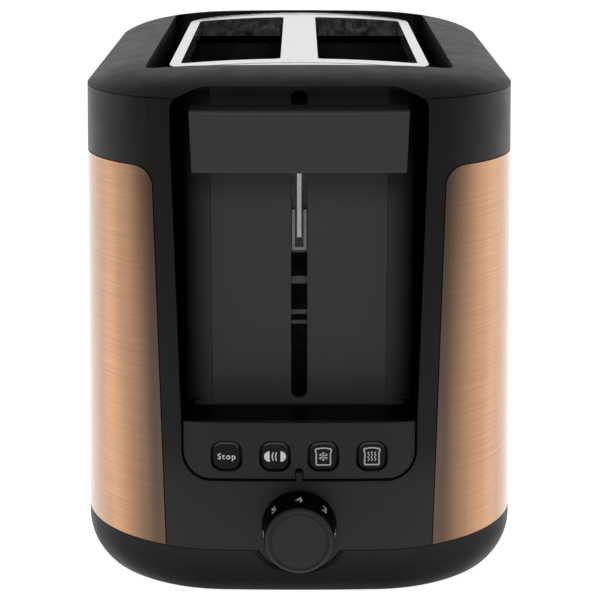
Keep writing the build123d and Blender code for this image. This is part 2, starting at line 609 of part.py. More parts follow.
def make_bread_carrier(side):
    """Rail along a slot with cross fingers that hold the bread."""
    x = side * SLOT_CENTRE_X
    rail = block(x - 1.0, x + 1.0, CARRIAGE_Y, 76, CARRIER_Z - 7, CARRIER_Z)
    for k in range(6):
        rail = rail + rod_x(-62 + 25 * k, CARRIER_Z - 1.6, 1.0, x - 9.5, x + 9.5)
    return rail


def make_latch_armature():
    """Iron plate on the carriage that the electromagnet holds down, on a short bracket."""
    plate = block(27, 40, -101.5, -93.5, CARRIAGE_BOTTOM_Z - 2.6, CARRIAGE_BOTTOM_Z - 0.8)
    return plate + block(27, 29, CARRIAGE_Y, -99, CARRIAGE_BOTTOM_Z - 2.6, CARRIAGE_BOTTOM_Z + 3)


def make_electromagnet():
    """Coil on a core, on the floor below the armature's low position."""
    low = CARRIAGE_BOTTOM_Z - LEVER_TRAVEL - 3.4
    coil = rod_z(34.5, -97.5, 5.6, CHASSIS_BOTTOM_Z + 1.2, low - 2) + rod_z(34.5, -97.5, 2.6, 21, low)
    return coil + block(28, 41, -104, -91.6, CHASSIS_BOTTOM_Z + 0.4, CHASSIS_BOTTOM_Z + 2)


def make_guide_rod(side):
    return rod_z(side * ROD_X, ROD_Y, ROD_R, CHASSIS_BOTTOM_Z + 1.2, CHASSIS_TOP_Z - 1.2)


def make_return_spring(side):
    """Plain sleeve with the outer size of the coil spring round a guide rod."""
    spring = rod_z(side * ROD_X, ROD_Y, 3.9, CHASSIS_BOTTOM_Z + 1.2, CARRIAGE_BOTTOM_Z)
    return spring - rod_z(side * ROD_X, ROD_Y, 2.7, 0, 120)


def make_end_plate(y, direction):
    """Steel plate across the chassis with flanges; direction points out of the toasting space."""
    plate = block(-CHASSIS_HALF, CHASSIS_HALF, min(y, y + direction * SHEET), max(y, y + direction * SHEET),
                  CHASSIS_BOTTOM_Z, CHASSIS_TOP_Z)
    far = y + direction * (16.0 if direction < 0 else 8.0)
    for low, high in ((CHASSIS_BOTTOM_Z, CHASSIS_BOTTOM_Z + 1.2), (CHASSIS_TOP_Z - 1.2, CHASSIS_TOP_Z)):
        plate = plate + block(-25, 25, min(y, far), max(y, far), low, high)
    return plate


def make_front_plate():
    """Front end plate, slotted for the two bread carriers and braced below."""
    plate = make_end_plate(FRONT_PLATE_Y, -1)
    for side in (-1, 1):
        x = side * SLOT_CENTRE_X
        plate = plate - block(x - 2.2, x + 2.2, FRONT_PLATE_Y - 2, FRONT_PLATE_Y + 1, 42, CARRIER_Z + 4)
    return plate


def make_reflector(side):
    """Outer heat shield between the end plates."""
    x = side * CHASSIS_HALF
    sheet = block(min(x, x - side * SHEET), max(x, x - side * SHEET), FRONT_PLATE_Y, REAR_PLATE_Y, 24, 180)
    for z in (24, 180 - SHEET):
        lip_x = x - side * 4
        sheet = sheet + block(min(x, lip_x), max(x, lip_x), FRONT_PLATE_Y, REAR_PLATE_Y, z, z + SHEET)
    return sheet


def make_heater_board(x):
    """Thin mica board, notched along its upright edges for the ribbon."""
    board = block(x - MICA / 2, x + MICA / 2, -82, 80, 34, 176)
    for k in range(RIBBON_TURNS):
        z = RIBBON_LOW_Z + RIBBON_PITCH * k
        for y in (-82, 80):
            board = board - block(x - 1, x + 1, y - 1.5, y + 1.5, z - 1.1, z + 1.1)
    return board


def make_heater_ribbon(x, faces):
    """Flat resistance ribbon: one level run per turn on each working face of a board."""
    runs = None
    for k in range(RIBBON_TURNS):
        z = RIBBON_LOW_Z + RIBBON_PITCH * k
        for face in faces:
            near = x + face * MICA / 2
            far = near + face * RIBBON_THICKNESS
            run = block(min(near, far), max(near, far), -80, 78, z - RIBBON_HALF, z + RIBBON_HALF)
            runs = run if runs is None else runs + run
    return runs


def make_bread_guard(x):
    """Cage of upright wires between two long wires."""
    front, rear = -GUARD_END_Y - 1, GUARD_END_Y - 1
    guard = rod_y(x, GUARD_HIGH_Z, GUARD_WIRE_R, front - 4, rear + 4)
    guard = guard + rod_y(x, GUARD_LOW_Z, GUARD_WIRE_R, front - 4, rear + 4)
    for k in range(GUARD_WIRES):
        y = front + (rear - front) * k / (GUARD_WIRES - 1)
        guard = guard + rod_z(x, y, GUARD_WIRE_R * 0.9, GUARD_LOW_Z, GUARD_HIGH_Z)
    return guard


def make_crumb_tray():
    """Shallow sheet pan that slides out at the rear."""
    pan = block(-CRUMB_HALF, CRUMB_HALF, CRUMB_FRONT_Y, CRUMB_REAR_Y, CRUMB_BOTTOM_Z, CRUMB_TOP_Z)
    return pan - block(-CRUMB_HALF + SHEET, CRUMB_HALF - SHEET, CRUMB_FRONT_Y + SHEET, CRUMB_REAR_Y - SHEET,
                       CRUMB_BOTTOM_Z + SHEET, CRUMB_TOP_Z + 1)


def make_crumb_handle():
    """Pull plate that closes the slot in the base tray's rear wall, with a finger lip."""
    low, high = CRUMB_BOTTOM_Z - 0.4, CRUMB_TOP_Z + 0.6
    plate = block(-CRUMB_HALF - 1.0, CRUMB_HALF + 1.0, CRUMB_REAR_Y, HALF_LENGTH + 2, low, high)
    plate = plate & base_outer(0.05)
    return plate - rod_x(HALF_LENGTH + 1.0, low, 4.0, -16, 16)


def make_control_board():
    """Upright circuit board behind the fascia with a switch for each button."""
    board = block(-41, 41, -122.0, -120.4, 22, 64)
    for x in BUTTON_XS.values():
        board = board + block(x - 3, x + 3, -124.6, -122.0, BUTTON_Z - 3, BUTTON_Z + 3)
        board = board + rod_y(x, BUTTON_Z, 1.6, -125.8, -124.6)
    for x, y_deep, size in ((-28, 9, 7), (26, 7, 8), (-15, 5, 5)):
        board = board + block(x - size, x + size, -120.4, -120.4 + y_deep, 30, 30 + size)
    return board - rod_y(0, DIAL_Z, 5.2, -130, -110)


def make_potentiometer():
    """Rotary control on the board with a bushing for the dial's shaft."""
    pot = block(-8, 8, -120.4, -113, DIAL_Z - 8, DIAL_Z + 8) + rod_y(0, DIAL_Z, 5.0, -128, -120)
    return pot - rod_y(0, DIAL_Z, SHAFT_R + SHAFT_CLEARANCE, -130, -116)


def make_dial_shaft():
    return rod_y(0, DIAL_Z, SHAFT_R, DIAL_BACK_Y - 10, -116.5)


def make_terminal_block():
    """Mains connector inside the rear, on the base."""
    body = block(-18, 18, 100, 114, WALL + 12, WALL + 26)
    for x in (-12, 0, 12):
        body = body - rod_z(x, 107, 2.5, WALL + 18, WALL + 30) - rod_y(x, WALL + 17, 2.2, 98, 116)
    return body + block(-18, 18, 104, 110, CRUMB_TOP_Z + 1.2, WALL + 12)


def make_base_screws():
    screws = None
    for x, y in BASE_SCREWS:
        screw = rod_z(x, y, 3.0, 1.6, 4.0) + rod_z(x, y, 1.4, 4.0, 30)
        screw = screw - block(x - 2, x + 2, y - 0.4, y + 0.4, 0, 2.4)
        screw = screw - block(x - 0.4, x + 0.4, y - 2, y + 2, 0, 2.4)
        screws = screw if screws is None else screws + screw
    return screws


# ---------------------------------------------------------------- assembly

def build():
    add("base_tray", make_base_tray())
    for name, (x, y) in FOOT_PLACES.items():
        add(name, make_foot(x, y))
    add("base_screws", make_base_screws())
    add("housing", make_housing())
    add("bay_liner", make_bay_liner())
    add("top_cover", make_top_cover())
    add("slot_well", make_slot_well())
    add("slot_frame", make_slot_frame())
    left, right = make_side_panels()
    add("side_panel_left", left)
    add("side_panel_right", right)
    add("lever_track_panel", make_track_panel())
    add("control_insert", make_control_insert())
    for name, x in BUTTON_XS.items():
        add("button_" + name, make_button(x))
    add("dial_knob", make_dial_knob())
    add("dial_shaft", make_dial_shaft())
    add("potentiometer", make_potentiometer())
    add("control_board", make_control_board())
    add("lever_handle", make_lever_handle())
    add("lever_stem", make_lever_stem())
    add("stem_clip", make_stem_clip())
    add("carriage", make_carriage())
    add("latch_armature", make_latch_armature())
    add("electromagnet", make_electromagnet())
    for word, side in (("left", -1), ("right", 1)):
        add("bread_carrier_" + word, make_bread_carrier(side))
        add("guide_rod_" + word, make_guide_rod(side))
        add("return_spring_" + word, make_return_spring(side))
        add("reflector_" + word, make_reflector(side))
    add("end_plate_front", make_front_plate())
    add("end_plate_rear", make_end_plate(REAR_PLATE_Y, 1))
    for word, x, faces in (("left", -HEATER_X, (1,)), ("centre", 0, (-1, 1)), ("right", HEATER_X, (-1,))):
        add("heater_board_" + word, make_heater_board(x))
        add("heater_ribbon_" + word, make_heater_ribbon(x, faces))
    for name, x in GUARD_PLACES.items():
        add(name, make_bread_guard(x))
    add("crumb_tray", make_crumb_tray())
    add("crumb_tray_handle", make_crumb_handle())
    add("rear_panel", make_rear_panel())
    add("cord_gland", make_cord_gland())
    add("terminal_block", make_terminal_block())


def export_all():
    """Writes every piece with the origin at the middle of the whole footprint, on the resting surface."""
    os.makedirs("parts", exist_ok=True)
    shift = Location((0, (-DIAL_FRONT_Y - HALF_LENGTH) / 2, FOOT_PROUD))
    for name, shape in PARTS.items():
        export_step(shape.moved(shift), "parts/" + name + ".step")


build()
export_all()
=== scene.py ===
import json
import math

import bpy
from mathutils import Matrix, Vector
from mathutils.bvhtree import BVHTree


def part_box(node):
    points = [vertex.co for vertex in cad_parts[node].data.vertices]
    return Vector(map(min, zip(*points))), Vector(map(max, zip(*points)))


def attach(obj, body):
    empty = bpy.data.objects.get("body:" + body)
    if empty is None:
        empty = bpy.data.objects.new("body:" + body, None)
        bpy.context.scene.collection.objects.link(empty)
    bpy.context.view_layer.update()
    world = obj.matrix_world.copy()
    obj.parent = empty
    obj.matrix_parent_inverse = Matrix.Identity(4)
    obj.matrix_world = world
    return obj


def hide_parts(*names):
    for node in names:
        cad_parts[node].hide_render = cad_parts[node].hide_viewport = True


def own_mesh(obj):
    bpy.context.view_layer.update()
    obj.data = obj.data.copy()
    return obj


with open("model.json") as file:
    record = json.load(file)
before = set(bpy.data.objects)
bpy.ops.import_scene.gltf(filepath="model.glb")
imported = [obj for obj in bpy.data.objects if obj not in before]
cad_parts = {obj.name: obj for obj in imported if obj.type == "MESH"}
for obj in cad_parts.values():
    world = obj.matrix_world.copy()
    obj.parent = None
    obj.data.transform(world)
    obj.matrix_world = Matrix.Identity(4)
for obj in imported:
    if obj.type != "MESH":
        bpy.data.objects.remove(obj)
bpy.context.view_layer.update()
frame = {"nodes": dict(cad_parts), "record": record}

MM = 0.001

# Camera: its place in the object's frame in metres, its look downwards in degrees, its lens in millimetres.
CAMERA_PLACE = (0.0003, -0.8225, 0.2901)
CAMERA_DOWN = 14.036
CAMERA_LENS = 117.6
SENSOR = 36.0

# Studio air: its brightness before and behind the object, and overhead as a share of that.
AIR_FRONT, AIR_REAR = 0.10, 0.85
CEILING = 0.35
AIR_TURN = (-0.05, 0.12)         # Y of the directions between which the front turns into the rear
CEILING_TURN = (0.35, 0.75)      # Z of the directions between which the walls turn into the ceiling

# Area lights: places, targets and sizes in metres, power in watts.
LIGHTS = {
    "overhead": {"place": (0, -0.1, 1.3), "target": (0, 0, 0.15), "size": (1.2, 0.9), "power": 1.2},
    "front_fill": {"place": (0, -1.9, 1.2), "target": (0, 0, 0.1), "size": (1.6, 0.8), "power": 17.0},
}

# Floor: pale paper, lit from below from LIT_FROM_Y backwards and fading to DIM_GLOW at DIM_BEFORE_Y. Metres.
FLOOR_HALF = 6.0
LIT_FROM_Y, DIM_BEFORE_Y = -0.16, -0.45
FULL_GLOW, DIM_GLOW = 0.92, 0.30
PAPER_DARK, PAPER_LIGHT = (0.60, 0.60, 0.60), (0.64, 0.64, 0.64)
PAPER_FIBRE_SCALE = 180.0

# Surface detail: scales in cells per metre, depths in metres.
CLOUD_SCALE, CLOUD_DETAIL = 22.0, 4.0        # faint cloudiness of moulded colour
GLOSS_SCALE, GLOSS_DETAIL = 90.0, 5.0        # uneven gloss of moulded surfaces
GLOSS_SPAN = 0.05                            # how far roughness strays either way
GRAIN_SCALE, GRAIN_DEPTH, GRAIN_STRENGTH = 2600.0, 0.00003, 0.25
RUBBER_GRAIN, BOARD_GRAIN = 1200.0, 900.0
SCRATCH_SCALE, SCRATCH_DEPTH, SCRATCH_STRENGTH = 400.0, 0.00002, 0.1
STAIN_SCALE, STAIN_SHARE = 60.0, 0.82        # stains on metal and how dark they are
TURN_SCALE, TURN_DEPTH = 500.0, 0.0003       # turns of a wire winding
MICA_SCALE, MICA_GLOSS_SCALE, MICA_DEPTH = 350.0, 200.0, 0.0001
INK_FILM_SCALE, INK_THIN_SHARE = 1500.0, 0.85

# Copper: scales of its brush marks along X, Y and Z and of its painted reflection bands, and painted shade,
# standing in for a dimmer reflection, where a panel turns to the object's ends.
FINE_BRUSH, BROAD_BRUSH, PAINTED_REFLECTION_BANDS = (8.0, 8.0, 1800.0), (12.0, 12.0, 800.0), (70.0, 8.0, 3.0)
BRUSH_DEPTH = 0.000004
PAINTED_SHADE_FULL_X, PAINTED_SHADE_NONE_X, PAINTED_SHADE_SHARE = 0.055, 0.071, 0.16

# Lettering.
CAPITAL_SHARE = 0.73             # height of a capital as a share of the type size
TEXT_WEIGHT = 0.011              # how far letters are thickened, as a share of their height
INK = 0.04                       # height of printed ink above the surface, mm
RAY_START = 0.01                 # how far in front of a surface its height is felt from, m

# Symbols on the buttons, in millimetres from the middle of the button.
LINE = 0.46
STOP_HEIGHT, STOP_SPACING = 2.35, 1.2
ROLL_X, ROLL_RADII = 2.0, (2.1, 2.05)
ROLL_MARK_XS, ROLL_MARK_RADII, ROLL_MARK_WIDTH = (-0.05, 1.15), (0.95, 2.0), LINE * 0.9
SHOULDER, SHOULDER_RADII = (2.35, 2.35), (0.62, 0.75)
DOME_Y, DOME_RADII = 2.55, (2.6, 0.75)
WAIST = (2.62, 1.2)
FOOT, FOOT_RADII = (2.2, -2.75), (0.5, 0.5)
OUTLINE_WIDTH = LINE * 1.15
FLAKE_ARMS, FLAKE_TURN = 6, 30   # arms of the snowflake, and the turn of the first one in degrees
FLAKE_FROM, FLAKE_TO, FLAKE_WIDTH = 0.25, 1.75, LINE * 0.7
BARB_FROM, BARB_TO, BARB_ASIDE, BARB_WIDTH = 0.95, 1.45, 0.5, LINE * 0.6
WAVE_XS, WAVE_SWING, WAVE_RATE, WAVE_WIDTH = (-1.25, 0, 1.25), 0.28, 4.2, LINE * 0.75
WAVE_FROM, WAVE_STEP, WAVE_POINTS = -1.8, 0.3, 13

# Numbers round the dial, in millimetres.
NUMBERS, TOP_NUMBER = range(1, 9), 4
NUMBER_TURN = 45                 # degrees from one number to the next
NUMBER_HEIGHT = 4.6
NUMBER_NARROWING = 0.9           # printed width as a share of drawn width
NUMBER_AT = 0.46                 # how far forward the numbers stand on the knob's side
DIAL_BACK_R, DIAL_FRONT_R = 14.1, 12.5

# Return springs, in millimetres.
SPRING_R, SPRING_WIRE_R, SPRING_TURNS = 3.3, 0.42, 15
SPRING_STEPS, WIRE_STEPS = 20, 8  # points round one turn, and round the wire

# CAD nodes whose finish differs from that of their material slot; several of these finishes carry painted
# light and shade.
FINISHES = {
    "housing": "housing_black",
    "base_tray": "base_black",
    "top_cover": "cover_black",
    "bay_liner": "bay_fade",
    "slot_well": "deep_black",
    "lever_handle": "face_black",
    "lever_track_panel": "face_black",
    "control_insert": "insert_black",
    "button_stop": "key_black",
    "button_bagel": "key_black",
    "button_defrost": "key_black",
    "button_reheat": "key_black",
    "dial_knob": "knob_black",
    "lever_stem": "stem_steel",
    "stem_clip": "bright_steel",
    "carriage": "dull_steel",
}


# ---------------------------------------------------------------- shader nodes

def new_material(name):
    """A new material, its node tree and its Principled shader."""
    material = bpy.data.materials.new(name)
    material.use_nodes = True
    shader = material.node_tree.nodes["Principled BSDF"]
    return material, material.node_tree, shader


def set_inputs(shader, **values):
    """Sets inputs by name, with underscores for the spaces in their names."""
    for key, value in values.items():
        shader.inputs[key.replace("_", " ")].default_value = value


def node(tree, kind, **properties):
    """Adds a node and sets its properties."""
    made = tree.nodes.new(kind)
    for key, value in properties.items():
        setattr(made, key, value)
    return made


def place_coordinates(tree, scale=(1, 1, 1)):
    """Object coordinates, stretched by scale."""
    source = node(tree, "ShaderNodeTexCoord")
    mapping = node(tree, "ShaderNodeMapping")
    mapping.inputs["Scale"].default_value = scale
    tree.links.new(source.outputs["Object"], mapping.inputs["Vector"])
    return mapping.outputs["Vector"]


def axis_of(tree, vector, axis):
    """One part of a vector: X, Y or Z."""
    split = node(tree, "ShaderNodeSeparateXYZ")
    tree.links.new(vector, split.inputs["Vector"])
    return split.outputs[axis]


def distance_from_middle(tree, axis):
    """Distance from the object's middle plane across an axis, X or Y."""
    distance = node(tree, "ShaderNodeMath", operation="ABSOLUTE")
    tree.links.new(axis_of(tree, place_coordinates(tree), axis), distance.inputs[0])
    return distance.outputs["Value"]


def noise(tree, vector, scale, detail=3.0, roughness=0.55):
    """Soft random values, mostly between 0.3 and 0.7."""
    made = node(tree, "ShaderNodeTexNoise")
    set_inputs(made, Scale=scale, Detail=detail, Roughness=roughness)
    tree.links.new(vector, made.inputs["Vector"])
    return made.outputs["Fac"]


def spread(tree, value, low, high, from_low=0.3, from_high=0.7):
    """Maps the range from_low to from_high onto low to high, and holds the ends beyond it."""
    made = node(tree, "ShaderNodeMapRange")
    set_inputs(made, From_Min=from_low, From_Max=from_high, To_Min=low, To_Max=high)
    tree.links.new(value, made.inputs["Value"])
    return made.outputs["Result"]


def ramp(tree, value, stops):
    """A colour ramp from (position, colour) stops."""
    made = node(tree, "ShaderNodeValToRGB")
    elements = made.color_ramp.elements
    while len(elements) < len(stops):
        elements.new(0.5)
    for element, (position, colour) in zip(elements, stops):
        element.position = position
        element.color = (*colour, 1)
    tree.links.new(value, made.inputs["Fac"])
    return made.outputs["Color"]


def multiply(tree, colour, factor):
    """A colour times a grey factor."""
    made = node(tree, "ShaderNodeMix", data_type="RGBA", blend_type="MULTIPLY")
    made.inputs["Factor"].default_value = 1.0
    tree.links.new(colour, made.inputs["A"])
    tree.links.new(factor, made.inputs["B"])
    return made.outputs["Result"]


def bump(tree, shader, height, strength, distance):
    """Raises the surface by a height between 0 and 1 times distance."""
    made = node(tree, "ShaderNodeBump")
    set_inputs(made, Strength=strength, Distance=distance)
    tree.links.new(height, made.inputs["Height"])
    tree.links.new(made.outputs["Normal"], shader.inputs["Normal"])


# ---------------------------------------------------------------- materials

def grey(value):
    """A grey with a trace of blue."""
    return (value, value, value * 1.02)


def shaded(colour, share):
    """A colour darkened or lightened to a share of itself."""
    return tuple(share * c for c in colour)


def clouds_of(tree):
    """The slow noise that moulded colour follows."""
    return noise(tree, place_coordinates(tree), CLOUD_SCALE, CLOUD_DETAIL)


def moulding_grain(tree, shader, scale=GRAIN_SCALE):
    """The fine spark-eroded grain of a moulded surface."""
    bump(tree, shader, noise(tree, place_coordinates(tree), scale, 2.0), GRAIN_STRENGTH, GRAIN_DEPTH)


def uneven_gloss(tree, shader, rough):
    """Roughness that strays a little from its middle value."""
    gloss = noise(tree, place_coordinates(tree), GLOSS_SCALE, GLOSS_DETAIL)
    tree.links.new(spread(tree, gloss, rough - GLOSS_SPAN, rough + GLOSS_SPAN), shader.inputs["Roughness"])


def moulded_plastic(name, dark, light, rough, grain=GRAIN_SCALE, specular=0.5):
    """Satin moulding: fine grain, faint cloudiness in colour and gloss."""
    material, tree, shader = new_material(name)
    tree.links.new(ramp(tree, clouds_of(tree), [(0.3, dark), (0.7, light)]), shader.inputs["Base Color"])
    uneven_gloss(tree, shader, rough)
    moulding_grain(tree, shader, grain)
    set_inputs(shader, Specular_IOR_Level=specular)
    return material


def fading_plastic(name, colour, axis, full_at, black_at, specular=0.0):
    """Moulding with painted shade: it goes black between two distances from the object's middle plane."""
    material, tree, shader = new_material(name)
    cloudy = ramp(tree, clouds_of(tree), [(0.3, colour), (0.7, shaded(colour, 1.08))])
    # Painted shade: black towards the middle plane.
    fade = spread(tree, distance_from_middle(tree, axis), 1.0, 0.0, full_at, black_at)
    tree.links.new(multiply(tree, cloudy, fade), shader.inputs["Base Color"])
    moulding_grain(tree, shader)
    set_inputs(shader, Roughness=0.45, Specular_IOR_Level=specular)
    return material


def graded_plastic(name, low, high, low_z, high_z, specular):
    """Satin moulding whose colour goes from one black to another between two heights: painted light and shade
    by height.
    """
    material, tree, shader = new_material(name)
    height = spread(tree, axis_of(tree, place_coordinates(tree), "Z"), 0.0, 1.0, low_z, high_z)
    cloudy = spread(tree, clouds_of(tree), 0.92, 1.08)
    colour = multiply(tree, ramp(tree, height, [(0.0, low), (1.0, high)]), cloudy)
    tree.links.new(colour, shader.inputs["Base Color"])
    uneven_gloss(tree, shader, 0.38)
    moulding_grain(tree, shader)
    set_inputs(shader, Specular_IOR_Level=specular)
    return material


def rimmed_plastic(name, face, rim):
    """Moulding with a painted highlight: paler where its rounded edge turns upwards, as if catching light
    from above.
    """
    material, tree, shader = new_material(name)
    normal = node(tree, "ShaderNodeNewGeometry").outputs["Normal"]
    upwards = spread(tree, axis_of(tree, normal, "Z"), 0.0, 1.0, 0.15, 0.6)
    tree.links.new(ramp(tree, upwards, [(0.0, face), (1.0, rim)]), shader.inputs["Base Color"])
    moulding_grain(tree, shader)
    set_inputs(shader, Roughness=0.35, Specular_IOR_Level=0.14)
    return material


def brushed_metal(name, dark, light, rough):
    """Lacquered metal brushed level all the way round, with highlights drawn out up and down.

    Painted shade, standing in for a dimmer reflection, sets in at the NONE_X distance from the middle plane
    and is full at the FULL_X distance.
    """
    material, tree, shader = new_material(name)
    fine = noise(tree, place_coordinates(tree, FINE_BRUSH), 2.0, 4.0, 0.7)
    broad = noise(tree, place_coordinates(tree, BROAD_BRUSH), 2.0, 3.0, 0.6)
    bands = noise(tree, place_coordinates(tree, PAINTED_REFLECTION_BANDS), 2.0, 1.0, 0.5)
    mixed = node(tree, "ShaderNodeMath", operation="ADD")
    tree.links.new(fine, mixed.inputs[0])
    tree.links.new(broad, mixed.inputs[1])
    streaks = spread(tree, mixed.outputs["Value"], 0.0, 1.0, 0.6, 1.4)
    colour = ramp(tree, streaks, [(0.15, dark), (0.85, light)])
    # Painted reflection: soft vertical bands lighten and darken the copper's colour.
    colour = multiply(tree, colour, spread(tree, bands, 0.80, 1.06, 0.35, 0.65))
    # Painted shade: the copper's colour darkens towards the middle plane in X, where a panel turns to the
    # object's ends.
    across = distance_from_middle(tree, "X")
    painted_shade = spread(tree, across, PAINTED_SHADE_SHARE, 1.0, PAINTED_SHADE_FULL_X, PAINTED_SHADE_NONE_X)
    tree.links.new(multiply(tree, colour, painted_shade), shader.inputs["Base Color"])
    tree.links.new(spread(tree, broad, rough - 0.03, rough + 0.03), shader.inputs["Roughness"])
    bump(tree, shader, fine, 0.3, BRUSH_DEPTH)
    around = node(tree, "ShaderNodeTangent", direction_type="RADIAL", axis="Z")
    tree.links.new(around.outputs["Tangent"], shader.inputs["Tangent"])
    set_inputs(shader, Metallic=1.0, Anisotropic=0.6, Anisotropic_Rotation=0.25)
    set_inputs(shader, Coat_Weight=0.7, Coat_IOR=1.6, Coat_Roughness=0.22)
    return material


def plain_metal(name, colour, rough, stain=None):
    """Rolled or drawn sheet with fine random scratches and a little staining."""
    material, tree, shader = new_material(name)
    where = place_coordinates(tree)
    stain = stain or shaded(colour, STAIN_SHARE)
    marks = noise(tree, where, STAIN_SCALE, 5.0)
    scratches = noise(tree, where, SCRATCH_SCALE, 4.0)
    tree.links.new(ramp(tree, marks, [(0.35, stain), (0.65, colour)]), shader.inputs["Base Color"])
    tree.links.new(spread(tree, scratches, rough * 0.7, rough * 1.3), shader.inputs["Roughness"])
    bump(tree, shader, noise(tree, where, SCRATCH_SCALE * 3, 2.0), SCRATCH_STRENGTH, SCRATCH_DEPTH)
    set_inputs(shader, Metallic=1.0)
    return material


def wound_wire(name, dark, light):
    """Enamelled wire wound in level turns."""
    material, tree, shader = new_material(name)
    turns = node(tree, "ShaderNodeTexWave", bands_direction="Z")
    set_inputs(turns, Scale=TURN_SCALE, Distortion=0.4)
    tree.links.new(place_coordinates(tree), turns.inputs["Vector"])
    tree.links.new(ramp(tree, turns.outputs["Fac"], [(0.2, dark), (0.8, light)]), shader.inputs["Base Color"])
    bump(tree, shader, turns.outputs["Fac"], 0.6, TURN_DEPTH)
    set_inputs(shader, Metallic=1.0, Roughness=0.35)
    return material


def pressed_mica(name, dark, middle, light):
    """Pressed mica: flaky, with a gloss that changes from flake to flake."""
    material, tree, shader = new_material(name)
    where = place_coordinates(tree)
    flakes = node(tree, "ShaderNodeTexVoronoi")
    set_inputs(flakes, Scale=MICA_SCALE)
    tree.links.new(where, flakes.inputs["Vector"])
    colour = ramp(tree, flakes.outputs["Color"], [(0.0, dark), (0.6, middle), (1.0, light)])
    tree.links.new(colour, shader.inputs["Base Color"])
    tree.links.new(spread(tree, noise(tree, where, MICA_GLOSS_SCALE), 0.35, 0.7), shader.inputs["Roughness"])
    bump(tree, shader, flakes.outputs["Distance"], 0.2, MICA_DEPTH)
    return material


def print_ink(name, colour):
    """Pad-printed ink with a slightly uneven film."""
    material, tree, shader = new_material(name)
    film = noise(tree, place_coordinates(tree), INK_FILM_SCALE, 3.0)
    thin = shaded(colour, INK_THIN_SHARE)
    tree.links.new(ramp(tree, film, [(0.3, thin), (0.6, colour)]), shader.inputs["Base Color"])
    tree.links.new(spread(tree, film, 0.4, 0.6), shader.inputs["Roughness"])
    return material


def make_materials():
    """Every material of the object, by name: first the blacks, then other plastics, metals and the rest."""
    made = {}

    def make(maker, name, *values, **settings):
        made[name] = maker(name, *values, **settings)

    make(moulded_plastic, "satin_black", grey(0.004), grey(0.005), rough=0.38, specular=0.22)
    make(moulded_plastic, "cover_black", grey(0.003), grey(0.004), rough=0.45, specular=0.18)
    make(moulded_plastic, "face_black", grey(0.032), grey(0.034), rough=0.45, specular=0.28)
    # Slot well: painted shade, a near-black without gloss standing in for the shade inside the slots.
    make(moulded_plastic, "deep_black", grey(0.0005), grey(0.001), rough=0.55, specular=0.0)
    # Housing: painted light low on the front and painted shade higher up, paler below low_z and darker above
    # high_z.
    make(graded_plastic, "housing_black", grey(0.014), grey(0.0026), low_z=0.044, high_z=0.060, specular=0.22)
    # Base: painted shade, darker towards the bottom where the base rolls under.
    make(graded_plastic, "base_black", grey(0.004), grey(0.019), low_z=0.006, high_z=0.018, specular=0.05)
    # Knob: painted shade, its side goes black behind the front face.
    make(fading_plastic, "knob_black", grey(0.030), "Y", full_at=0.1450, black_at=0.1438, specular=0.06)
    # Lever bay: painted shade, the back panel goes black towards its curved sides.
    make(fading_plastic, "bay_fade", grey(0.038), "X", full_at=0.034, black_at=0.043)
    # Control insert: painted shade, black behind its front face.
    make(fading_plastic, "insert_black", grey(0.024), "Y", full_at=0.1262, black_at=0.1240, specular=0.1)
    # Buttons: a painted highlight along the upward-turned edge of each cap.
    make(rimmed_plastic, "key_black", face=grey(0.005), rim=grey(0.34))
    make(moulded_plastic, "rubber", grey(0.012), grey(0.02), rough=0.75, grain=RUBBER_GRAIN)
    make(moulded_plastic, "white_plastic", (0.62, 0.61, 0.57), (0.72, 0.71, 0.67), rough=0.4)
    make(moulded_plastic, "circuit_board", (0.01, 0.07, 0.03), (0.015, 0.1, 0.04), rough=0.35,
         grain=BOARD_GRAIN)
    make(brushed_metal, "brushed_copper", (0.46, 0.215, 0.090), (0.60, 0.305, 0.140), rough=0.20)
    make(plain_metal, "chrome", (0.88, 0.88, 0.88), rough=0.16, stain=(0.85, 0.85, 0.85))
    make(plain_metal, "steel", (0.46, 0.46, 0.47), rough=0.35)
    make(plain_metal, "bright_steel", (0.25, 0.25, 0.25), rough=0.35)
    make(plain_metal, "stem_steel", (0.52, 0.52, 0.52), rough=0.25)
    make(plain_metal, "dull_steel", (0.09, 0.09, 0.09), rough=0.4)
    make(plain_metal, "dark_steel", (0.020, 0.019, 0.019), rough=0.5, stain=(0.012, 0.011, 0.011))
    make(plain_metal, "ribbon", (0.20, 0.18, 0.17), rough=0.45, stain=(0.10, 0.085, 0.08))
    make(wound_wire, "winding", (0.30, 0.12, 0.05), (0.66, 0.32, 0.16))
    make(pressed_mica, "mica", (0.30, 0.24, 0.16), (0.47, 0.39, 0.27), (0.62, 0.55, 0.42))
    make(print_ink, "print_white", (0.66, 0.66, 0.66))
    make(print_ink, "print_grey", (0.42, 0.42, 0.42))
    return made


def dress_cad_nodes():
    """Every CAD node takes the material of its slot in the record, or its own finish."""
    for part in frame["record"]["subparts"]:
        piece = frame["nodes"][part["node"]]
        finish = FINISHES.get(part["node"], part["material_slot"])
        piece.data.materials.clear()
        piece.data.materials.append(materials[finish])


# ---------------------------------------------------------------- building pieces

def mesh_piece(name, points, faces, material, smooth=False):
    """A mesh object from points in metres, in the object's frame."""
    mesh = bpy.data.meshes.new(name)
    mesh.from_pydata(points, [], faces)
    mesh.validate()
    mesh.materials.append(material)
    if smooth:
        mesh.shade_smooth()
    piece = bpy.data.objects.new(name, mesh)
    bpy.context.scene.collection.objects.link(piece)
    return piece


def arc(centre, radii, start, end, steps=14):
    """Points along an elliptical arc, angles in degrees."""
    angles = [math.radians(start + (end - start) * i / steps) for i in range(steps + 1)]
    return [(centre[0] + radii[0] * math.cos(a), centre[1] + radii[1] * math.sin(a)) for a in angles]


